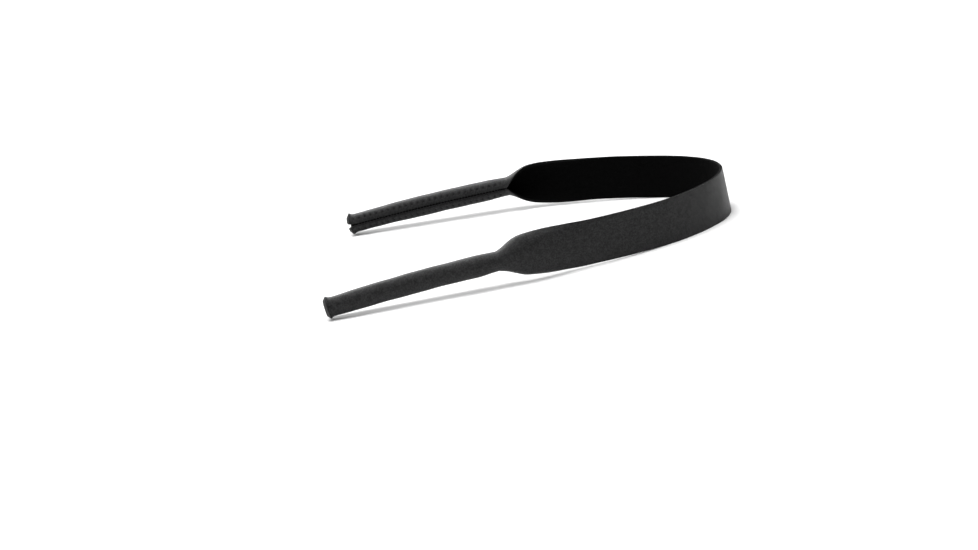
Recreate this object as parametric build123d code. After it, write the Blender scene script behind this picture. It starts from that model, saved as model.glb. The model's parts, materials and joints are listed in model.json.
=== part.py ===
from build123d import *
import math
import os

# Eyeglass retainer strap: one strip of laminated foam, worn round the back of the
# neck.  Its two ends are rolled lengthwise into sleeves that push onto the temple
# arms of a pair of glasses, each closed by a zigzag seam along its inner side.
#
# Frame, in millimetres: +X is the wearer's left, +Y points back from the glasses to
# the nape of the neck, +Z is up.  The origin is the bottom centre of the bounding
# box.  The strap stands on the lower edge of its back band and on the lower lips of
# the two sleeve mouths.

# ---- driving dimensions -----------------------------------------------------------

BAND_WIDTH = 19.2        # height of the flat band
KNIT = 0.25              # knitted face, on each side of the foam
FOAM = 1.0               # closed-cell foam core
TUBE_RADIUS = 3.5        # radius of the strip's middle layer where it is rolled up
SLIT = 0.12              # butt joint between the strip's two edges in a sleeve

# Plan of one side, from the centre of the back to the mouth: (length, turn in degrees).
BACK_ARC = (21.0, 32.5)
SHOULDER_ARC = (29.0, 26.0)
SIDE_ARC = (27.0, 9.5)
SIDE_STRAIGHT = (30.0, 0.0)
FLARE_ARC = (20.0, 18.0)
TUBE_RUN = (75.0, 0.0)

LEG_PITCH = 1.9          # the band rises towards the sleeves by this many degrees
SLEEVE_HINGE_AT = 98.0   # distance along the strip from the centre of the back
HINGE_GAP = 0.8          # room between two bodies at a flexing place
CURL_POWER = 1.6         # the strip opens out fast behind the sleeve, then slowly
FLARE_SECTIONS = 9       # sections that the flare is lofted through
LIP_LENGTH = 3.0         # turned-out rim of a sleeve's mouth
LIP_FLARE = 0.45         # how far the rim turns out

SEAM_THREAD = 0.3        # diameter of the needle thread
LOOPER_THREAD = 0.2      # diameter of the looper thread
STITCH_STEP = 1.4        # length of one zig of the seam along the sleeve
STITCH_SHARE = 0.7       # share of the step that one stitch covers between its holes
SEAM_WIDTH = 4.2         # width of the zigzag, measured round the sleeve
SEAM_MARGIN = 3.5        # plain length left at each end of a sleeve
THREAD_COVER = 0.02      # the looper thread lies this deep inside the lining

# ---- derived dimensions -----------------------------------------------------------

THICKNESS = FOAM + 2 * KNIT
BORE_RADIUS = TUBE_RADIUS - THICKNESS / 2
OUTER_RADIUS = TUBE_RADIUS + THICKNESS / 2
LIP_RADIUS = OUTER_RADIUS + LIP_FLARE
RUNS = [BACK_ARC, SHOULDER_ARC, SIDE_ARC, SIDE_STRAIGHT, FLARE_ARC, TUBE_RUN]
BAND_HINGE_AT = BACK_ARC[0] + SHOULDER_ARC[0]
FLARE_START = BAND_HINGE_AT + SIDE_ARC[0] + SIDE_STRAIGHT[0]
FLARE_END = FLARE_START + FLARE_ARC[0]
LEG_SLOPE = math.tan(math.radians(LEG_PITCH))

# Each layer lies between two distances from the strip's middle, counted outwards.
LAYERS = {
    "lining": (-THICKNESS / 2, -FOAM / 2),
    "foam": (-FOAM / 2, FOAM / 2),
    "outer_knit": (FOAM / 2, THICKNESS / 2),
}


def plan_point(distance, offset=0.0):
    """Point of the left half of the strip's plan, and its heading in degrees.

    The strip starts along +X at the centre of the back and turns clockwise.  The
    point lies offset outwards of the strip's middle.
    """
    x, y, heading = 0.0, 0.0, 0.0
    for length, turn in RUNS:
        used = min(distance, length)
        part_turn = math.radians(turn * used / length)
        start = math.radians(heading)
        if turn:
            radius = length / math.radians(turn)
            x += radius * (math.sin(start + part_turn) - math.sin(start))
            y += radius * (math.cos(start + part_turn) - math.cos(start))
        else:
            x += used * math.cos(start)
            y -= used * math.sin(start)
        heading += turn * used / length
        distance -= used
        if distance <= 0:
            break
    outward = math.radians(heading)
    return x + offset * math.sin(outward), y + offset * math.cos(outward), heading


def leg_rise(distance):
    """Height of the band's lower edge beyond the band hinge."""
    hinge_y = plan_point(BAND_HINGE_AT)[1]
    return LEG_SLOPE * max(0.0, hinge_y - plan_point(distance)[1])


# The sleeve droops from the flare so that the mouth's lower lip meets the floor.
FLARE_START_Z = BAND_WIDTH / 2 + leg_rise(FLARE_START)
DROP_TO_MOUTH = FLARE_START_Z + FLARE_ARC[0] * LEG_SLOPE / 2 - LIP_RADIUS
DROOP_SLOPE = DROP_TO_MOUTH / (FLARE_ARC[0] / 2 + TUBE_RUN[0])
DROOP = math.degrees(math.atan(DROOP_SLOPE))
TUBE_LENGTH = TUBE_RUN[0] / math.cos(math.radians(DROOP))


def mouth_front():
    """Foremost y of the lip, which is a disc square to the splayed, drooping sleeve."""
    _, y, heading = plan_point(FLARE_END + TUBE_RUN[0])
    turn = math.radians(heading)
    axis_y = y - TUBE_RADIUS * math.cos(turn)
    return axis_y - LIP_RADIUS * math.hypot(math.cos(turn), math.sin(turn) * math.sin(math.radians(DROOP)))


SHIFT_Y = -(THICKNESS / 2 + mouth_front()) / 2


def place(x, y):
    """Move a plan point into the part's frame."""
    return x, y + SHIFT_Y


# ---- flat band --------------------------------------------------------------------


def run_edges(start, end, offset):
    """Lines and arcs that follow the plan from start to end at one offset."""
    stops = [start]
    travelled = 0.0
    for length, _ in RUNS:
        travelled += length
        if start < travelled < end:
            stops.append(travelled)
    stops.append(end)
    edges = []
    for a, b in zip(stops, stops[1:]):
        first = place(*plan_point(a, offset)[:2])
        last = place(*plan_point(b, offset)[:2])
        middle = place(*plan_point((a + b) / 2, offset)[:2])
        if abs(plan_point(a)[2] - plan_point(b)[2]) < 0.01:
            edges.append(Line(first, last))
        else:
            edges.append(ThreePointArc(first, middle, last))
    return edges


def strip_outline(start, end, layer):
    """Closed plan outline of one layer between two distances along the strip."""
    inner, outer = LAYERS[layer]
    inside = run_edges(start, end, inner)
    outside = run_edges(start, end, outer)
    caps = [Line(inside[0] @ 0, outside[0] @ 0), Line(inside[-1] @ 1, outside[-1] @ 1)]
    return make_face(Curve() + inside + outside + caps)


def back_layer(layer):
    """One layer of the back band, which stands upright on its lower edge."""
    half = strip_outline(0, BAND_HINGE_AT - HINGE_GAP / 2, layer)
    whole = half + mirror(half, about=Plane.YZ)
    return extrude(whole, BAND_WIDTH)


def leg_slab():
    """Sloping slab that trims the upright layers of a leg to the band's width."""
    hinge_y = place(*plan_point(BAND_HINGE_AT)[:2])[1]
    reach = 2 * FLARE_END
    rise = reach * LEG_SLOPE
    side = Polyline(
        (hinge_y, 0),
        (hinge_y - reach, rise),
        (hinge_y - reach, rise + BAND_WIDTH),
        (hinge_y, BAND_WIDTH),
        close=True,
    )
    return extrude(Plane.YZ * make_face(side), reach, both=True)


def leg_layer(start, end, layer):
    """One upright layer of the side band, trimmed along the leg's slope."""
    tall = extrude(strip_outline(start, end, layer), 3 * BAND_WIDTH)
    return tall & leg_slab()


# ---- sleeve -----------------------------------------------------------------------


def flare_frame(t):
    """Section plane of the flare, t = 0 at the flat band and t = 1 at the sleeve.

    The plane's X axis points outwards, its Y axis up and its Z axis to the mouth.
    """
    x, y, heading = plan_point(FLARE_START + t * FLARE_ARC[0])
    x, y = place(x, y)
    z = FLARE_START_Z + FLARE_ARC[0] * (LEG_SLOPE * t - (LEG_SLOPE + DROOP_SLOPE) * t * t / 2)
    turn = math.radians(heading)
    tilt = math.radians(DROOP) * t
    ahead = Vector(math.cos(turn) * math.cos(tilt), -math.sin(turn) * math.cos(tilt), -math.sin(tilt))
    outward = Vector(math.sin(turn), math.cos(turn), 0)
    return Plane(origin=(x, y, z), x_dir=outward, z_dir=ahead)


CLOSED_SWEEP = 2 * math.pi - SLIT / TUBE_RADIUS
STRIP_AT_TUBE = CLOSED_SWEEP * TUBE_RADIUS


def curl(t):
    """Radius and sweep, in radians, of the strip's middle layer in the flare."""
    width = BAND_WIDTH + (STRIP_AT_TUBE - BAND_WIDTH) * t
    sweep = CLOSED_SWEEP * t ** CURL_POWER
    return width / sweep, sweep


def curled_outline(radius, sweep, inner, outer, grow=0.0):
    """C-shaped outline of one layer; the plane's origin is its outermost middle."""
    edges = []
    for layer_radius in (radius + inner + grow, radius + outer + grow):
        points = []
        for share in (-0.5, 0.0, 0.5):
            angle = sweep * share
            points.append((layer_radius * math.cos(angle) - radius, layer_radius * math.sin(angle)))
        edges.append(ThreePointArc(*points))
    caps = [Line(edges[0] @ 0, edges[1] @ 0), Line(edges[0] @ 1, edges[1] @ 1)]
    return make_face(Curve() + edges + caps)


def flare_layer(layer):
    """One layer of the flare, where the flat strip rolls up into the sleeve."""
    inner, outer = LAYERS[layer]
    sections = [flare_frame(0) * Pos((inner + outer) / 2, 0) * Rectangle(outer - inner, BAND_WIDTH)]
    for i in range(1, FLARE_SECTIONS):
        t = i / (FLARE_SECTIONS - 1)
        radius, sweep = curl(t)
        sections.append(flare_frame(t) * curled_outline(radius, sweep, inner, outer))
    return loft(sections)


def tube_layer(layer):
    """One layer of the straight sleeve with the turned-out lip at its mouth."""
    inner, outer = LAYERS[layer]
    section = curled_outline(TUBE_RADIUS, CLOSED_SWEEP, inner, outer)
    straight = TUBE_LENGTH - LIP_LENGTH
    tube = extrude(flare_frame(1) * section, straight)
    lip_start = flare_frame(1) * Pos(0, 0, straight)
    lip_end = flare_frame(1) * Pos(0, 0, TUBE_LENGTH)
    rim = curled_outline(TUBE_RADIUS, CLOSED_SWEEP, inner, outer, LIP_FLARE)
    lip = loft([lip_start * section, lip_end * rim])
    return tube + lip


def sleeve_layer(layer):
    """One layer of a whole sleeve: flat stub, flare and tube."""
    stub = leg_layer(SLEEVE_HINGE_AT + HINGE_GAP / 2, FLARE_START, layer)
    return stub + flare_layer(layer) + tube_layer(layer)


def seam_thread(reach, diameter):
    """Zigzag of separate stitches across the butt joint at one distance from the axis."""
    half_angle = SEAM_WIDTH / 2 / OUTER_RADIUS
    count = int((TUBE_LENGTH - 2 * SEAM_MARGIN) / STITCH_STEP)
    frame = flare_frame(1) * Pos(-TUBE_RADIUS, 0, 0)
    stitches = []
    for i in range(count):
        side = 1 if i % 2 else -1
        points = []
        for share in (-0.5, 0.0, 0.5):
            angle = math.pi + 2 * side * share * half_angle
            along = SEAM_MARGIN + STITCH_STEP * (i + 0.5 + STITCH_SHARE * share)
            points.append((reach * math.cos(angle), reach * math.sin(angle), along))
        path = ThreePointArc(*points)
        stitch = sweep(Plane(path @ 0, z_dir=path % 0) * Circle(diameter / 2), path)
        stitches.append(frame * stitch)
    return Compound(children=[stitch.solid() for stitch in stitches])


# ---- export -----------------------------------------------------------------------


def save(shape, node):
    """Write one node; every solid in it is kept separate."""
    export_step(shape, f"parts/{node}.step")


def save_pair(shape, name):
    """Write the wearer's left piece and its mirror image on the right."""
    save(shape, f"left_{name}")
    save(mirror(shape, about=Plane.YZ), f"right_{name}")


os.makedirs("parts", exist_ok=True)
for layer in LAYERS:
    save(back_layer(layer), f"back_{layer}")
    leg = leg_layer(BAND_HINGE_AT + HINGE_GAP / 2, SLEEVE_HINGE_AT - HINGE_GAP / 2, layer)
    save_pair(leg, f"band_{layer}")
    save_pair(sleeve_layer(layer), f"sleeve_{layer}")
save_pair(seam_thread(OUTER_RADIUS + SEAM_THREAD / 2, SEAM_THREAD), "seam_needle_thread")
looper_reach = BORE_RADIUS + THREAD_COVER + LOOPER_THREAD / 2
save_pair(seam_thread(looper_reach, LOOPER_THREAD), "seam_looper_thread")

band_hinge = place(*plan_point(BAND_HINGE_AT)[:2])
sleeve_hinge = place(*plan_point(SLEEVE_HINGE_AT)[:2])
wall_length = TUBE_LENGTH - LIP_LENGTH
wall = Plane(flare_frame(1) * Pos(-TUBE_RADIUS, 0, wall_length / 2))
print("band hinge", band_hinge, "sleeve hinge", sleeve_hinge, "back", SHIFT_Y)
print("passage middle", wall.origin, "direction", wall.z_dir, "wall", wall_length, "radius", BORE_RADIUS)
print("droop", DROOP, "rise of the band at the flare", leg_rise(FLARE_START))
print("strip length", 2 * (FLARE_END + TUBE_LENGTH), "width in the sleeve", STRIP_AT_TUBE)
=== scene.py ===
"""Looks of the eyeglass retainer strap: one strip of laminated foam whose two ends are
rolled into zigzag-seamed sleeves.

The strip is drawn in its own coordinates, in millimetres:
  along   signed distance from the centre of the back, positive on the wearer's left
  across  distance up the strip from its mid-line
  out     distance outwards from the middle of its thickness
strip_points() turns them into points of the row frame, in metres.
"""

import json
import math

import bpy
import numpy as np
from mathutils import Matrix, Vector


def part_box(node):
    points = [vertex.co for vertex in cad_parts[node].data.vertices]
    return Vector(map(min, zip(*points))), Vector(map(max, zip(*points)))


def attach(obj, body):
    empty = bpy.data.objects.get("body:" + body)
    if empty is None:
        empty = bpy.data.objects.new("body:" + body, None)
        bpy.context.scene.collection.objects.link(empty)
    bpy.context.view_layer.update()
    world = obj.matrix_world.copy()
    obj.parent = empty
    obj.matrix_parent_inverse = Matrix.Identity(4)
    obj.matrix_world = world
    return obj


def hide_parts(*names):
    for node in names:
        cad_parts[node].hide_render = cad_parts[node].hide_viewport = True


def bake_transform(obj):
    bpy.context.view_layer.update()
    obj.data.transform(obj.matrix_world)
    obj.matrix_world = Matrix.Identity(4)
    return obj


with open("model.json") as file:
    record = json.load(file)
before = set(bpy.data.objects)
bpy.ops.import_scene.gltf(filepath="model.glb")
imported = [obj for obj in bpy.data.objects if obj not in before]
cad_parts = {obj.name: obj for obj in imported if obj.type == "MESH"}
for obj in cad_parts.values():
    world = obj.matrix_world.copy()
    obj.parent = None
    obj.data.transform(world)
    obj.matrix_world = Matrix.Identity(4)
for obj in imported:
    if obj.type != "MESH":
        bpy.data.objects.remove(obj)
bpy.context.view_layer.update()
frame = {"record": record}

MM = 0.001

# ---- the strip as the CAD model has it: millimetres and degrees --------------------

BAND_WIDTH = 19.2
KNIT = 0.25
FOAM = 1.0
TUBE_RADIUS = 3.5
SLIT = 0.12
RUNS = [(21.0, 32.5), (29.0, 26.0), (27.0, 9.5), (30.0, 0.0), (20.0, 18.0), (75.0, 0.0)]
LEG_PITCH = 1.9
SEAM_WIDTH = 4.2
STITCH_STEP = 1.4
SEAM_MARGIN = 3.5

# ---- what the finished strap adds ---------------------------------------------------

JOIN_AT = 78.0            # each side is made of two pieces that meet here
BACK_BEND = (25.0, 75.0)  # stretches about the band hinge and the sleeve hinge; only their end points are worked out
FRONT_BEND = (80.0, 119.0)
LAYER_GAP = 0.008         # room between two layers
KNIT_SETBACK = 0.3        # at the butt joint the knit ends short of the foam's cut edge
MOUTH_BEVEL = 1.3         # the mouth is cut aslant, so that the foam shows from outside
MOUTH_BEVEL_LENGTH = 3.0
LIP_TURN = 0.35           # the last of the sleeve turns out
LIP_TURN_LENGTH = 2.0
EDGE_ROUND = 0.13         # how far a knit's surface dips at the cut edge
EDGE_REACH = 0.3          # width of that dip
FOAM_BULGE = 0.07         # the foam stands this far out of the cut edge
CURL_RATE = 0.04          # how fast the roll opens behind the crotch, and how it starts
CURL_START = 0.08
CURL_START_REACH = 2.3
CURL_FADE = (26.0, 58.0)  # the band's cupping fades between these distances from the crotch
EDGE_CURL = 0.69          # share of the roll that is left to the strip's edges
EDGE_CURL_REACH = 12.7
SLEEVE_ARCH = 1.1         # the sleeves bow up a little
ARCH_SPAN = 1.12          # and the bow would come down just beyond the mouth
BACK_LEAN = 2.6           # degrees by which the top of the back band leans in
LEAN_FADE = 80.0          # and the distance over which that fades
SOFT_KNEE = 4.0           # the band starts to rise over about this length
FLAT_CURL = 0.004         # least roll of the flat band, in radians
WAVE = 0.16               # height of the strip's natural unevenness
GROOVE_DEPTH = 0.48       # both edges of the butt joint are pulled in by the seam
GROOVE_REACH = 0.8
DIMPLE_DEPTH = 0.5        # the knit dips at each needle hole
DIMPLE_REACH = 0.6
JOINT_PAINTED_SHADE = 0.8         # share of the colour taken off beside the joint: painted shade in its groove
JOINT_PAINTED_SHADE_REACH = 0.8
HOLE_PAINTED_SHADE = 0.85         # and taken off in the needle holes: painted shade in those dips
HOLE_PAINTED_SHADE_REACH = 0.8
FOAM_PAINTED_SHADE = 0.02    # painted light on the foam: away from the mouth it keeps only this share of its colour, painted shade along the band's cut edges, and at the mouth's rim it keeps all of it, a painted highlight
FOAM_HIGHLIGHT_REACH = (0.9, 0.3)    # distances from the mouth over which the foam's painted highlight comes in
TROUGH_DEPTH = 0.10       # depth and half width of the furrow under the thread
TROUGH_REACH = 0.32
NEEDLE_THREAD = 0.3       # thread diameters
LOOPER_THREAD = 0.2
NOTCH_OPENING = 0.32      # angle, in radians, by which the mouth opens at the seam
NOTCH_LENGTH = 3.5
CORNER_RADIUS = 1.2       # the strip's corners are rounded at the mouth
CORNER_PULL = 7.0         # length over which the rows follow those corners

# Sleeve from the crotch to the mouth: (distance, width of the strip, upright oval share).
SLEEVE_SHAPE = [
    (-45.0, 19.2, 0.0),
    (-12.0, 21.5, 0.0),
    (0.0, 21.7, 0.0),
    (10.0, 24.7, 0.0),
    (34.0, 23.0, 0.10),
    (56.0, 22.0, 0.06),
    (71.0, 21.6, 0.03),
    (75.3, 22.9, 0.05),
]

# ---- derived ------------------------------------------------------------------------

THICKNESS = FOAM + 2 * KNIT
BAND_HINGE_AT = RUNS[0][0] + RUNS[1][0]
FLARE_START = BAND_HINGE_AT + RUNS[2][0] + RUNS[3][0]
FLARE_LENGTH = RUNS[4][0]
FLARE_END = FLARE_START + FLARE_LENGTH
LEG_SLOPE = math.tan(math.radians(LEG_PITCH))
BACK_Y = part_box("back_foam")[1].y / MM - FOAM / 2
PASSAGE = next(m for m in frame["record"]["mounts"] if m["name"] == "left_sleeve_passage")
DROOP = math.asin(-PASSAGE["axis"][2])
TUBE_LENGTH = RUNS[5][0] / math.cos(DROOP)
MOUTH_AT = FLARE_END + TUBE_LENGTH
CLOSED = 2 * math.pi - SLIT / TUBE_RADIUS
STITCHES = int((TUBE_LENGTH - 2 * SEAM_MARGIN) / STITCH_STEP)

# Distances outwards between which each layer lies.
LAYERS = {
    "lining": (-THICKNESS / 2, -FOAM / 2 - LAYER_GAP),
    "foam": (-FOAM / 2, FOAM / 2),
    "outer_knit": (FOAM / 2 + LAYER_GAP, THICKNESS / 2),
}


def smoothstep(value):
    """0 below 0, 1 above 1 and a smooth rise between."""
    t = np.clip(value, 0.0, 1.0)
    return t * t * (3 - 2 * t)


def eased(value, stops, column):
    """Smooth curve through one column of a list of stops."""
    result = np.full_like(value, stops[0][column])
    for low, high in zip(stops, stops[1:]):
        share = smoothstep((value - low[0]) / (high[0] - low[0]))
        result = result + (high[column] - low[column]) * share
    return result


# ---- centre line --------------------------------------------------------------------


def plan(distance):
    """Plan of one side: x, y and heading, in radians, at an array of distances."""
    x = np.zeros_like(distance)
    y = np.full_like(distance, BACK_Y)
    heading = np.zeros_like(distance)
    left = distance
    for length, turn in RUNS:
        used = np.clip(left, 0.0, length)
        if turn:
            radius = length / math.radians(turn)
            part = used / radius
            x = x + radius * (np.sin(heading + part) - np.sin(heading))
            y = y + radius * (np.cos(heading + part) - np.cos(heading))
            heading = heading + part
        else:
            x = x + used * np.cos(heading)
            y = y - used * np.sin(heading)
        left = left - used
    return x, y, heading


def band_height(distance):
    """Height of the mid-line of the flat band, which rises gently towards the sleeves."""
    hinge_y = plan(np.array([BAND_HINGE_AT]))[1][0]
    ahead = hinge_y - plan(distance)[1]
    return BAND_WIDTH / 2 + LEG_SLOPE * (ahead + np.hypot(ahead, SOFT_KNEE)) / 2


def centre_line(along):
    """Origin, outward, up and ahead vectors of the strip's sections."""
    side = np.where(along < 0, -1.0, 1.0)
    distance = np.abs(along)
    in_tube = np.clip(distance - FLARE_END, 0.0, TUBE_LENGTH)
    x, y, heading = plan(np.minimum(distance, FLARE_END) + in_tube * math.cos(DROOP))
    t = np.clip((distance - FLARE_START) / FLARE_LENGTH, 0.0, 1.0)
    slope = math.tan(DROOP)
    bend = FLARE_LENGTH * (LEG_SLOPE * t - (LEG_SLOPE + slope) * t * t / 2)
    z = band_height(np.minimum(distance, FLARE_START)) + bend - in_tube * math.sin(DROOP)
    span = (MOUTH_AT - FLARE_START) * ARCH_SPAN
    share = np.clip((distance - FLARE_START) / span, 0.0, 1.0)
    z = z + SLEEVE_ARCH * np.sin(math.pi * share)
    tilt = (DROOP - SLEEVE_ARCH * math.pi / span * np.cos(math.pi * share)) * t
    zero = np.zeros_like(x)
    outward = np.stack([side * np.sin(heading), np.cos(heading), zero], 1)
    ahead = np.stack(
        [side * np.cos(heading) * np.cos(tilt), -np.sin(heading) * np.cos(tilt), -np.sin(tilt)], 1
    )
    up = np.cross(ahead, outward) * side[:, None]
    return np.stack([side * x, y, z], 1), outward, up, ahead


# ---- section ------------------------------------------------------------------------


def curl(distance):
    """Angle through which the strip is rolled, in radians."""
    d = np.clip(FLARE_END - distance, 0.0, None)
    opening = np.exp(-CURL_RATE * d - CURL_START * (1 - np.exp(-d / CURL_START_REACH)))
    fade = 1 - smoothstep((d - CURL_FADE[0]) / (CURL_FADE[1] - CURL_FADE[0]))
    notch = smoothstep((distance - (MOUTH_AT - NOTCH_LENGTH)) / NOTCH_LENGTH) ** 2
    return np.maximum(CLOSED * opening * fade, FLAT_CURL) - NOTCH_OPENING * notch


def section_shape(distance):
    """Strip width and upright oval share at an array of distances."""
    inside = distance - FLARE_END
    return eased(inside, SLEEVE_SHAPE, 1), eased(inside, SLEEVE_SHAPE, 2)


FINE = np.linspace(-0.5, 0.5, 321)


def sections(distance):
    """Middle layer of each section: outward and upward offsets and its normal's angle."""
    width, oval = section_shape(distance)
    rolled = curl(distance)
    at_edges = (EDGE_CURL * smoothstep((FLARE_END - distance) / EDGE_CURL_REACH))[:, None]
    angle = rolled[:, None] * (FINE * (1 - at_edges) + 4 * FINE**3 * at_edges)
    angle = angle - oval[:, None] * np.sin(4 * math.pi * FINE) * (rolled[:, None] / CLOSED)
    step = width[:, None] * (FINE[1] - FINE[0])
    middle = (angle[:, 1:] + angle[:, :-1]) / 2
    start = np.zeros((len(distance), 1))
    outward = np.concatenate([start, np.cumsum(-np.sin(middle) * step, 1)], 1)
    upward = np.concatenate([start, np.cumsum(np.cos(middle) * step, 1)], 1)
    centre = len(FINE) // 2
    outward = outward - outward[:, centre : centre + 1]
    upward = upward - upward[:, centre : centre + 1]
    depth = -outward[:, 0]
    keep_axis = (rolled / CLOSED) ** 4
    outward = outward + (keep_axis * (depth / 2 - TUBE_RADIUS))[:, None]
    lean = (math.radians(BACK_LEAN) * (1 - smoothstep(distance / LEAN_FADE)))[:, None]
    leaning_out = outward * np.cos(lean) - upward * np.sin(lean)
    leaning_up = outward * np.sin(lean) + upward * np.cos(lean)
    return leaning_out, leaning_up, angle + lean, width


def unevenness(along, share):
    """Small rise and fall of the whole strip, which is never quite even."""
    slow = np.sin(along / 9.3 + 1.1 + 1.7 * share) + 0.6 * np.sin(along / 4.1 + 2.9 * share)
    quick = 0.35 * np.sin(along / 1.9 + 5.0 * share + 0.7)
    return WAVE / 2 * (slow + quick)


def strip_points(along, across, out, ahead_by=None):
    """Points of the row frame, in metres; across and out have one row for each section."""
    origin, outward, up, ahead = centre_line(along)
    section_out, section_up, angle, width = sections(np.abs(along))
    share = across / width[:, None]
    x = np.empty_like(across)
    z = np.empty_like(across)
    turn = np.empty_like(across)
    for i in range(len(along)):
        x[i] = np.interp(share[i], FINE, section_out[i])
        z[i] = np.interp(share[i], FINE, section_up[i])
        turn[i] = np.interp(share[i], FINE, angle[i])
    beyond = np.abs(across) - width[:, None] / 2
    over = np.clip(beyond, 0.0, None) * np.sign(across)
    out = out + unevenness(along[:, None], share)
    x = x + out * np.cos(turn) - over * np.sin(turn)
    z = z + out * np.sin(turn) + over * np.cos(turn)
    points = origin[:, None] + outward[:, None] * x[..., None] + up[:, None] * z[..., None]
    if ahead_by is not None:
        points = points + ahead[:, None] * ahead_by[..., None]
    return points * MM


# ---- seam ---------------------------------------------------------------------------


def seam_position(distance):
    """Number of stitches passed at a distance along the strip."""
    return (distance - FLARE_END - SEAM_MARGIN) / STITCH_STEP


def seam_extent(distance):
    """1 along the sewn stretch of a sleeve and 0 beyond its ends."""
    passed = seam_position(distance)
    return smoothstep(passed + 1.5) * smoothstep(STITCHES + 1.5 - passed)


def hole_gap(distance, from_edge, upper):
    """Distance to the nearest needle hole; the rows beside the joint alternate."""
    shifted = seam_position(distance) + np.where(upper, 2.0, 1.0)
    past_hole = np.mod(shifted, 2.0) - 1.0
    return np.hypot(past_hole * STITCH_STEP, from_edge - SEAM_WIDTH / 2)


def seam_dip(distance, from_edge, upper):
    """How far the seam pulls the outer knit in, at a distance from the butt joint."""
    in_sleeve = smoothstep((distance - FLARE_END + 1.5) / 3.0)
    groove = GROOVE_DEPTH * np.exp(-((from_edge / GROOVE_REACH) ** 2)) * in_sleeve
    signed = np.where(upper, from_edge, -from_edge)
    hole = SEAM_WIDTH / 2
    phase = np.mod(seam_position(distance), 2.0)
    zigzag = hole * (1 - 2 * np.abs(phase - 1.0))
    slant = math.cos(math.atan(2 * hole / STITCH_STEP))
    trough = TROUGH_DEPTH * np.exp(-((((signed - zigzag) * slant) / TROUGH_REACH) ** 2))
    trough = np.where(from_edge < hole + TROUGH_REACH, trough, 0.0)
    dimple = DIMPLE_DEPTH * np.exp(-((hole_gap(distance, from_edge, upper) / DIMPLE_REACH) ** 2))
    return groove + seam_extent(distance) * (trough + dimple)


def seam_painted_shade(distance, from_edge, upper):
    """Share of the outer knit's colour kept beside the joint and in the needle holes; the rest is
    taken off as painted shade.
    """
    in_sleeve = smoothstep((distance - FLARE_END + 0.5) / 2.0)
    joint = JOINT_PAINTED_SHADE * np.exp(-((from_edge / JOINT_PAINTED_SHADE_REACH) ** 2)) * in_sleeve
    gap = hole_gap(distance, from_edge, upper)
    hole = HOLE_PAINTED_SHADE * seam_extent(distance) * np.exp(-((gap / HOLE_PAINTED_SHADE_REACH) ** 2))
    return (1 - joint) * (1 - hole)


# ---- layers -------------------------------------------------------------------------

# Distances from the strip's edge at which a layer has points, close together at the seam.
EDGE_COLUMNS = [0.0, 0.05, 0.12, 0.22, 0.4, 0.65, 0.95, 1.25]
EDGE_COLUMNS += [1.55, 1.85, 2.15, 2.45, 2.75, 3.1, 3.6, 4.2]
MIDDLE_COLUMNS = 15


def columns(width):
    """Distances across the strip at which a layer has points, one row for each width."""
    edge = np.array(EDGE_COLUMNS)
    share = np.linspace(0, 1, MIDDLE_COLUMNS + 2)[1:-1]
    half = width[:, None] / 2
    middle = (edge[-1] - half) + share * 2 * (half - edge[-1])
    return np.concatenate([-half + edge, middle, half - edge[::-1]], 1)


def corner_setback(from_edge):
    """How far the mouth's rounded corners lie behind its straight rim."""
    inside = np.clip(CORNER_RADIUS - from_edge, 0.0, CORNER_RADIUS)
    return CORNER_RADIUS - np.sqrt(CORNER_RADIUS**2 - inside**2)


def layer_loop(along, layer):
    """Closed loop of points round one layer's section, for each row."""
    low, high = LAYERS[layer]
    distance = np.abs(along)[:, None]
    width = section_shape(np.abs(along))[0]
    across = columns(width)
    if layer == "outer_knit":
        setback = KNIT_SETBACK * smoothstep((distance - FLARE_END + 1.0) / 3.0)
        across = across * (1 - 2 * setback / width[:, None])
    from_edge = width[:, None] / 2 - np.abs(across)
    round_off = EDGE_ROUND * np.clip(1 - from_edge / EDGE_REACH, 0.0, 1.0) ** 2
    dip = seam_dip(distance, from_edge, across > 0)
    top = np.full_like(across, high)
    bottom = np.full_like(across, low)
    if layer == "outer_knit":
        top = top - round_off - dip
        bottom = bottom - dip
    elif layer == "foam":
        top = top - dip
    else:
        bottom = bottom + round_off
    sides = []
    if layer == "foam":
        half = width / 2
        middle = (top[:, :1] + bottom[:, :1]) / 2
        reach = (top[:, :1] - bottom[:, :1]) * 0.28
        bulged = np.stack([half + FOAM_BULGE, half + FOAM_BULGE], 1)
        sides = [(bulged, np.concatenate([middle + reach, middle - reach], 1))]
    loop_across = [across] + [s[0] for s in sides] + [across[:, ::-1]] + [-s[0] for s in sides]
    loop_out = [top] + [s[1] for s in sides] + [bottom[:, ::-1]] + [s[1][:, ::-1] for s in sides]
    loop_across = np.concatenate(loop_across, 1)
    loop_out = np.concatenate(loop_out, 1)
    loop_edge = np.clip(width[:, None] / 2 - np.abs(loop_across), 0.0, None)
    pulled = np.clip((distance - (MOUTH_AT - CORNER_PULL)) / CORNER_PULL, 0.0, 1.0)
    bevelled = np.clip((distance - (MOUTH_AT - MOUTH_BEVEL_LENGTH)) / MOUTH_BEVEL_LENGTH, 0.0, 1.0)
    depth = np.clip(loop_out + THICKNESS / 2, 0.0, THICKNESS) / THICKNESS
    ahead_by = -corner_setback(loop_edge) * pulled - MOUTH_BEVEL * depth * bevelled
    turned = np.clip((distance - (MOUTH_AT - LIP_TURN_LENGTH)) / LIP_TURN_LENGTH, 0.0, 1.0)
    loop_out = loop_out + LIP_TURN * turned**2
    return loop_across, loop_out, ahead_by, across.shape[1], 2 if sides else 0


def layer_rows(front):
    """Distances of a piece's rows; the sleeve's seam needs them close together."""
    if not front:
        return np.linspace(0.0, JOIN_AT, 79)
    seam_from = FLARE_END - 4.0
    flat = np.linspace(JOIN_AT, seam_from, 61)[:-1]
    return np.concatenate([flat, np.linspace(seam_from, MOUTH_AT, 226)])


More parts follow.
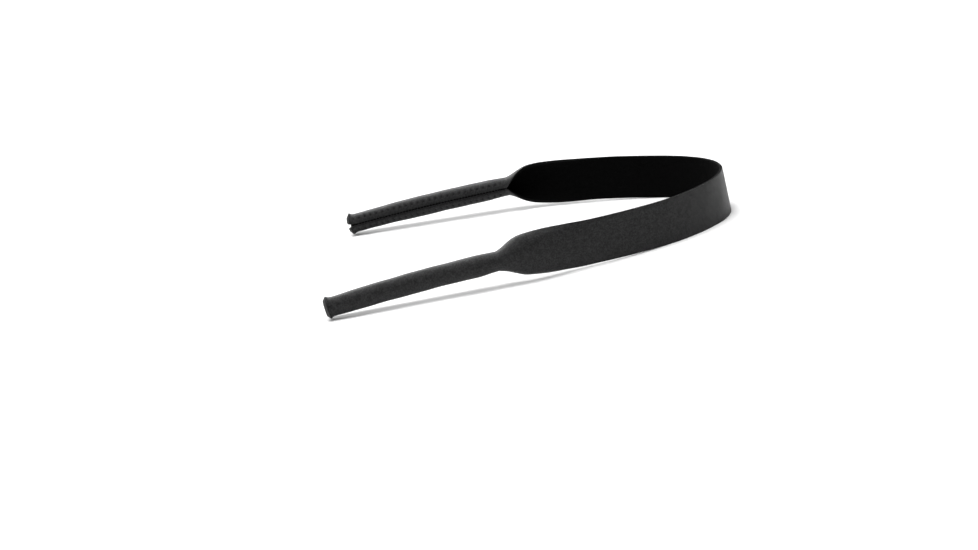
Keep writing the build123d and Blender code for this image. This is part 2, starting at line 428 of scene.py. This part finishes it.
def row_normals(points):
    """Unit normals of a grid of points with one spare row before and after."""
    down = points[2:] - points[:-2]
    side = np.roll(points, -1, 1) - np.roll(points, 1, 1)
    normal = np.cross(side[1:-1], down)
    return normal / np.maximum(np.linalg.norm(normal, axis=2, keepdims=True), 1e-12)


def cap_faces(first, count, extras, flip):
    """Faces that close the end of a layer, from the index of its row's first point."""
    size = 2 * (count + extras)
    faces = []
    for k in range(count - 1):
        top, below = first + k, first + size - extras - 1 - k
        faces.append([top, top + 1, below - 1, below])
    if extras:
        faces.append([first + count - 1 + k for k in range(extras + 2)])
        faces.append([first + size - extras - 1 + k for k in range(extras + 1)] + [first])
    return [face[::-1] if flip else face for face in faces]


def layer_painted_light(layer, along, across):
    """Share of a layer's full colour at each of its points: painted shade beside the seam on the
    outer knit, and on the foam painted shade with a painted highlight at the mouth's rim.
    """
    distance = np.abs(along)[:, None]
    if layer == "foam":
        # painted light on the foam: full colour at the mouth's rim as a painted highlight, painted
        # shade elsewhere
        start, end = FOAM_HIGHLIGHT_REACH
        at_mouth = smoothstep((distance - (MOUTH_AT - start)) / (start - end))
        return np.broadcast_to(FOAM_PAINTED_SHADE + (1 - FOAM_PAINTED_SHADE) * at_mouth, across.shape)
    from_edge = section_shape(distance[:, 0])[0][:, None] / 2 - np.abs(across)
    return seam_painted_shade(distance, from_edge, across > 0)


def build_layer(name, layer, front, side):
    """One layer of one piece of the strip as a closed mesh with smooth shading."""
    rows = layer_rows(front)
    before = rows[0] - 0.4
    after = rows[-1] + (0.4 if not front else 0.0)
    spaced = np.concatenate([[before], rows, [after]])
    if side < 0:
        spaced = -spaced[::-1]
    across, out, ahead_by, count, extras = layer_loop(spaced, layer)
    grid = strip_points(spaced, across, out, ahead_by)
    if front:
        end = 0 if side < 0 else -1
        inner = 1 if side < 0 else -2
        further = 2 if side < 0 else -3
        grid[end] = 2 * grid[inner] - grid[further]
    normals = row_normals(grid)
    grid = grid[1:-1]
    n_rows, size = grid.shape[:2]
    faces = []
    for i in range(n_rows - 1):
        for j in range(size):
            k = (j + 1) % size
            faces.append([i * size + j, i * size + k, (i + 1) * size + k, (i + 1) * size + j])
    side_faces = len(faces)
    faces += cap_faces(0, count, extras, True)
    faces += cap_faces((n_rows - 1) * size, count, extras, False)
    mesh = bpy.data.meshes.new(name)
    mesh.from_pydata(grid.reshape(-1, 3).tolist(), [], faces)
    drawn_along = np.broadcast_to(spaced[1:-1, None], across[1:-1].shape)
    coordinates = np.stack([drawn_along, across[1:-1]], 2)
    uv = mesh.uv_layers.new(name="strip")
    loops = np.empty(len(mesh.loops), dtype=np.int32)
    mesh.loops.foreach_get("vertex_index", loops)
    uv.data.foreach_set("uv", coordinates.reshape(-1, 2)[loops].ravel())
    # painted light per point in the attribute shade: painted shade beside the seam on the outer
    # knit; on the foam, painted shade with a painted highlight at the mouth's rim
    if layer != "lining":
        attribute = mesh.attributes.new("shade", "FLOAT", "POINT")
        attribute.data.foreach_set("value", layer_painted_light(layer, spaced[1:-1], across[1:-1]).ravel())
    corner_normals = normals.reshape(-1, 3)[loops]
    for polygon in mesh.polygons[side_faces:]:
        for corner in polygon.loop_indices:
            corner_normals[corner] = polygon.normal
    mesh.shade_smooth()
    mesh.normals_split_custom_set(corner_normals.tolist())
    return add_object(name, mesh)


def add_object(name, mesh):
    """Link a mesh to the scene."""
    piece = bpy.data.objects.new(name, mesh)
    bpy.context.scene.collection.objects.link(piece)
    return piece


def middle_point(along):
    """Point of the strip's mid-line, in metres."""
    flat = np.zeros((1, 1))
    return strip_points(np.array([float(along)]), flat, flat)[0, 0]


# ---- threads ------------------------------------------------------------------------

STITCH_SAMPLES = 10
THREAD_SIDES = 8


def thread_route(side, outer):
    """Points along the zigzag thread of one sleeve, on its outer or inner face."""
    steps = np.linspace(0, STITCHES, STITCHES * STITCH_SAMPLES + 1)
    distance = FLARE_END + SEAM_MARGIN + STITCH_STEP * steps
    phase = np.mod(steps, 2.0)
    signed = SEAM_WIDTH / 2 * (1 - 2 * np.abs(phase - 1.0))
    width = section_shape(distance)[0]
    across = np.where(signed >= 0, width / 2 - signed, -width / 2 - signed)
    from_edge = np.abs(signed)
    near_hole = np.abs(np.mod(steps + 0.5, 1.0) - 0.5) * 2
    lift = 1 - (1 - near_hole) ** 4
    if outer:
        surface = THICKNESS / 2 - seam_dip(distance, from_edge, signed >= 0) * 0.75
        out = surface + NEEDLE_THREAD * (0.3 * lift - 0.75 * (1 - lift))
    else:
        out = -THICKNESS / 2 - LOOPER_THREAD * (0.35 * lift - 0.75 * (1 - lift))
    return strip_points(side * distance, across[:, None], out[:, None])[:, 0]


def thread_mesh(name, route, diameter):
    """Round thread along a route, with closed ends."""
    ahead = np.gradient(route, axis=0)
    ahead /= np.linalg.norm(ahead, axis=1, keepdims=True)
    sidewards = np.cross(ahead, np.cross([0.0, 0.0, 1.0], ahead))
    sidewards /= np.linalg.norm(sidewards, axis=1, keepdims=True)
    upwards = np.cross(ahead, sidewards)
    angles = (np.arange(THREAD_SIDES) / THREAD_SIDES * 2 * math.pi)[None, :, None]
    ring = np.cos(angles) * sidewards[:, None] + np.sin(angles) * upwards[:, None]
    points = route[:, None] + ring * diameter / 2 * MM
    count = len(route)
    faces = []
    for i in range(count - 1):
        for j in range(THREAD_SIDES):
            k = (j + 1) % THREAD_SIDES
            a, b = i * THREAD_SIDES, (i + 1) * THREAD_SIDES
            faces.append([a + j, a + k, b + k, b + j])
    faces.append(list(range(THREAD_SIDES))[::-1])
    faces.append([(count - 1) * THREAD_SIDES + j for j in range(THREAD_SIDES)])
    mesh = bpy.data.meshes.new(name)
    mesh.from_pydata(points.reshape(-1, 3).tolist(), [], faces)
    mesh.shade_smooth()
    return add_object(name, mesh)


# ---- materials ----------------------------------------------------------------------

WALE = 0.7                 # spacing of the knit's columns and rows, in millimetres
COURSE = 0.5
LOOP_SLANT = 1.6           # how steeply the loops' legs slant
FINE_HEATHER = 1.4         # specks per millimetre, roughly
COARSE_HEATHER = 0.5
HEATHER_RANGE = (0.4, 0.58)
HEATHER_RELIEF = 1.5


def new_material(name):
    """A node material and its shader node."""
    material = bpy.data.materials.new(name)
    material.use_nodes = True
    return material, material.node_tree, material.node_tree.nodes["Principled BSDF"]


def math_node(tree, operation, first, second=None):
    """A Math node on two inputs, each a socket or a number."""
    node = tree.nodes.new("ShaderNodeMath")
    node.operation = operation
    for socket, value in zip(node.inputs, (first, second)):
        if value is None:
            continue
        if isinstance(value, (int, float)):
            socket.default_value = value
        else:
            tree.links.new(value, socket)
    return node.outputs[0]


def mixed_node(tree, first, first_share, second, second_share):
    """Sum of two sockets, each times its own share."""
    first_part = math_node(tree, "MULTIPLY", first, first_share)
    second_part = math_node(tree, "MULTIPLY", second, second_share)
    return math_node(tree, "ADD", first_part, second_part)


def ramp_node(tree, value, stops):
    """Colour ramp between two stops, each a position and a colour."""
    ramp = tree.nodes.new("ShaderNodeValToRGB")
    for element, (position, colour) in zip(ramp.color_ramp.elements, stops):
        element.position = position
        element.color = (*colour, 1.0)
    tree.links.new(value, ramp.inputs[0])
    return ramp.outputs[0]


def add_bump(tree, shader, height, strength, distance):
    """Small relief on a shader, with its depth in millimetres."""
    bump = tree.nodes.new("ShaderNodeBump")
    bump.inputs["Strength"].default_value = strength
    bump.inputs["Distance"].default_value = distance * MM
    tree.links.new(height, bump.inputs["Height"])
    tree.links.new(bump.outputs[0], shader.inputs["Normal"])


def strip_coordinates(tree):
    """Sockets for the distances along and across the strip, in millimetres."""
    uv = tree.nodes.new("ShaderNodeUVMap")
    uv.uv_map = "strip"
    split = tree.nodes.new("ShaderNodeSeparateXYZ")
    tree.links.new(uv.outputs[0], split.inputs[0])
    return uv.outputs[0], split.outputs[0], split.outputs[1]


def painted_light_colour(tree, colour):
    """The colour times the mesh's painted light, kept per point in its attribute shade."""
    attribute = tree.nodes.new("ShaderNodeAttribute")
    attribute.attribute_name = "shade"
    scale = tree.nodes.new("ShaderNodeVectorMath")
    scale.operation = "SCALE"
    tree.links.new(colour, scale.inputs[0])
    tree.links.new(attribute.outputs["Fac"], scale.inputs["Scale"])
    return scale.outputs[0]


def noise_node(tree, vector, scale):
    """Cloudy noise between 0 and 1."""
    noise = tree.nodes.new("ShaderNodeTexNoise")
    noise.inputs["Scale"].default_value = scale
    noise.inputs["Detail"].default_value = 2.0
    noise.inputs["Roughness"].default_value = 0.65
    tree.links.new(vector, noise.inputs["Vector"])
    return noise.outputs[0]


def knit_height(tree, along, across):
    """Relief of a jersey knit: columns of V-shaped loops across the strip."""
    in_wale = math_node(tree, "FRACT", math_node(tree, "DIVIDE", along, WALE))
    from_middle = math_node(tree, "ABSOLUTE", math_node(tree, "SUBTRACT", in_wale, 0.5))
    leg = math_node(tree, "SUBTRACT", math_node(tree, "MULTIPLY", from_middle, 4.0), 1.0)
    leg_profile = math_node(tree, "SUBTRACT", 1.0, math_node(tree, "MULTIPLY", leg, leg))
    slanted = mixed_node(tree, across, 1 / COURSE, from_middle, LOOP_SLANT)
    in_course = math_node(tree, "SUBTRACT", math_node(tree, "FRACT", slanted), 0.5)
    doubled = math_node(tree, "MULTIPLY", in_course, 2.0)
    loop_profile = math_node(tree, "SUBTRACT", 1.0, math_node(tree, "MULTIPLY", doubled, doubled))
    return math_node(tree, "MULTIPLY", leg_profile, loop_profile)


def knit_material(name, dark, light, sheen, roughness, specular, with_painted_shade):
    """Jersey knit with yarn relief, heathered dye and a soft sheen; where asked, its colour is
    darkened by the seam's painted shade.
    """
    material, tree, shader = new_material(name)
    place, along, across = strip_coordinates(tree)
    height = knit_height(tree, along, across)
    fine = noise_node(tree, place, FINE_HEATHER)
    coarse = noise_node(tree, place, COARSE_HEATHER)
    heather = mixed_node(tree, fine, 0.6, coarse, 0.4)
    mixed = mixed_node(tree, height, 0.2, heather, 0.8)
    colour = ramp_node(tree, mixed, [(HEATHER_RANGE[0], dark), (HEATHER_RANGE[1], light)])
    if with_painted_shade:
        colour = painted_light_colour(tree, colour)
    tree.links.new(colour, shader.inputs["Base Color"])
    add_bump(tree, shader, mixed_node(tree, height, 1.0, heather, HEATHER_RELIEF), 0.6, 0.12)
    shader.inputs["Roughness"].default_value = roughness
    shader.inputs["Specular IOR Level"].default_value = specular
    shader.inputs["Sheen Weight"].default_value = sheen
    shader.inputs["Sheen Roughness"].default_value = 0.6
    shader.inputs["Sheen Tint"].default_value = (0.95, 0.96, 1.0, 1.0)
    return material


def foam_material():
    """Closed-cell foam: fine cells at the cut edges; its colour is scaled by the mesh's painted
    light, a painted highlight at the mouth's rim and painted shade elsewhere.
    """
    material, tree, shader = new_material("foam")
    place = tree.nodes.new("ShaderNodeTexCoord")
    cells = tree.nodes.new("ShaderNodeTexVoronoi")
    cells.inputs["Scale"].default_value = 6500.0
    tree.links.new(place.outputs["Object"], cells.inputs["Vector"])
    distance = cells.outputs["Distance"]
    colour = ramp_node(tree, distance, [(0.0, (0.025, 0.025, 0.025)), (1.0, (0.07, 0.07, 0.07))])
    tree.links.new(painted_light_colour(tree, colour), shader.inputs["Base Color"])
    add_bump(tree, shader, distance, 0.7, 0.08)
    shader.inputs["Roughness"].default_value = 0.9
    shader.inputs["Specular IOR Level"].default_value = 0.1
    return material


def thread_material():
    """Twisted polyester thread."""
    material, tree, shader = new_material("thread")
    place = tree.nodes.new("ShaderNodeTexCoord")
    noise = tree.nodes.new("ShaderNodeTexNoise")
    noise.inputs["Scale"].default_value = 5000.0
    tree.links.new(place.outputs["Object"], noise.inputs["Vector"])
    stops = [(0.0, (0.004, 0.004, 0.0044)), (1.0, (0.014, 0.014, 0.015))]
    tree.links.new(ramp_node(tree, noise.outputs[0], stops), shader.inputs["Base Color"])
    shader.inputs["Roughness"].default_value = 0.6
    shader.inputs["Specular IOR Level"].default_value = 0.2
    return material


def floor_material():
    """Plain pale matt floor."""
    material, tree, shader = new_material("pale_floor")
    shader.inputs["Base Color"].default_value = (0.86, 0.86, 0.86, 1.0)
    shader.inputs["Roughness"].default_value = 0.9
    shader.inputs["Specular IOR Level"].default_value = 0.1
    return material


# ---- stage --------------------------------------------------------------------------

CAMERA_AZIMUTH = 95.02
CAMERA_ELEVATION = 14.80
CAMERA_ROLL = -10.90
CAMERA_DISTANCE = 1.7035
CAMERA_LENS = 143.92
CAMERA_OFFSET = (0.02141, 0.02410)
CAMERA_TARGET = Vector((0.0, 0.003785, 0.010))
FLOOR_REACH = 6.0


def add_camera():
    """Camera on the wearer's left, a little above and behind, turned about its own axis."""
    azimuth = math.radians(CAMERA_AZIMUTH)
    elevation = math.radians(CAMERA_ELEVATION)
    roll = math.radians(CAMERA_ROLL)
    back = Vector(
        (
            math.sin(azimuth) * math.cos(elevation),
            -math.cos(azimuth) * math.cos(elevation),
            math.sin(elevation),
        )
    )
    level_right = Vector((0, 0, 1)).cross(back).normalized()
    level_up = back.cross(level_right)
    right = math.cos(roll) * level_right + math.sin(roll) * level_up
    up = back.cross(right)
    camera = bpy.data.objects.new("camera", bpy.data.cameras.new("camera"))
    bpy.context.scene.collection.objects.link(camera)
    camera.data.lens = CAMERA_LENS
    camera.data.sensor_width = 36.0
    camera.data.clip_start = 0.01
    camera.data.clip_end = 50.0
    aside = right * CAMERA_OFFSET[0] + up * CAMERA_OFFSET[1]
    camera.location = CAMERA_TARGET + back * CAMERA_DISTANCE - aside
    rotation = camera.matrix_basis.to_3x3()
    rotation.col[0], rotation.col[1], rotation.col[2] = right, up, back
    camera.rotation_euler = rotation.to_euler()
    bpy.context.scene.camera = camera


def add_area_light(name, location, target, size, power):
    """Square soft light that faces a target."""
    light = bpy.data.objects.new(name, bpy.data.lights.new(name, "AREA"))
    bpy.context.scene.collection.objects.link(light)
    light.data.size = size
    light.data.energy = power
    light.location = location
    light.rotation_euler = (Vector(target) - Vector(location)).to_track_quat("-Z", "Y").to_euler()


def add_stage():
    """Pale floor, even surround and soft lights."""
    mesh = bpy.data.meshes.new("floor")
    reach = FLOOR_REACH
    corners = [(-reach, -reach, 0), (reach, -reach, 0), (reach, reach, 0), (-reach, reach, 0)]
    mesh.from_pydata(corners, [], [(0, 1, 2, 3)])
    mesh.materials.append(floor_material())
    floor = add_object("floor", mesh)
    world = bpy.data.worlds.new("surround")
    world.use_nodes = True
    world.node_tree.nodes["Background"].inputs[0].default_value = (1.0, 1.0, 1.0, 1.0)
    world.node_tree.nodes["Background"].inputs[1].default_value = 0.36
    bpy.context.scene.world = world
    add_area_light("overhead_softbox", (0.15, -0.1, 1.5), (0.0, 0.0, 0.0), 0.9, 27.0)
    add_area_light("mouth_side_fill", (0.4, -1.3, 0.5), (0.0, 0.0, 0.0), 0.8, 4.0)
    add_area_light("rim_softbox", (-1.4, -0.7, 0.9), (0.0, -0.03, 0.0), 1.0, 24.0)


# ---- the strap ----------------------------------------------------------------------


def declare_layer(piece, layer, front, side_name):
    """Hide the CAD parts that a piece of a layer stands in for and bake its placement into its
    mesh; the ends of its stretch in BACK_BEND or FRONT_BEND are worked out but not used.
    """
    hinge_from, hinge_to = ("left_band", "left_sleeve") if front else ("back_band", "left_band")
    hinge_from = hinge_from.replace("left", side_name)
    hinge_to = hinge_to.replace("left", side_name)
    side = 1 if side_name == "left" else -1
    start, end = (middle_point(side * at) for at in (FRONT_BEND if front else BACK_BEND))
    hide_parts(f"{hinge_from}_{layer}" if front else f"back_{layer}", f"{hinge_to}_{layer}")
    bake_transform(piece)


def make_strap():
    """Every piece of the strap."""
    charcoal = knit_material(
        "outer_knit",
        dark=(0.0015, 0.0015, 0.0016),
        light=(0.022, 0.022, 0.0225),
        sheen=0.01,
        roughness=0.4,
        specular=0.18,
        with_painted_shade=True,
    )
    black = knit_material(
        "lining",
        dark=(0.0002, 0.0002, 0.0002),
        light=(0.0015, 0.0015, 0.0015),
        sheen=0.003,
        roughness=0.9,
        specular=0.03,
        with_painted_shade=False,
    )
    foam = foam_material()
    thread = thread_material()
    materials = {"outer_knit": charcoal, "lining": black, "foam": foam}
    for side_name, side in (("left", 1), ("right", -1)):
        for front in (False, True):
            where = "front" if front else "back"
            for layer in ("foam", "outer_knit", "lining"):
                piece = build_layer(f"{layer}_{side_name}_{where}", layer, front, side)
                piece.data.materials.append(materials[layer])
                declare_layer(piece, layer, front, side_name)
        for node, diameter in (("needle_thread", NEEDLE_THREAD), ("looper_thread", LOOPER_THREAD)):
            route = thread_route(side, node == "needle_thread")
            piece = thread_mesh(f"{node}_{side_name}", route, diameter)
            piece.data.materials.append(thread)
            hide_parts(f"{side_name}_seam_{node}")
            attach(piece, f"{side_name}_sleeve")


bpy.context.scene.view_settings.view_transform = "Standard"
add_camera()
add_stage()
make_strap()
bpy.context.view_layer.update()
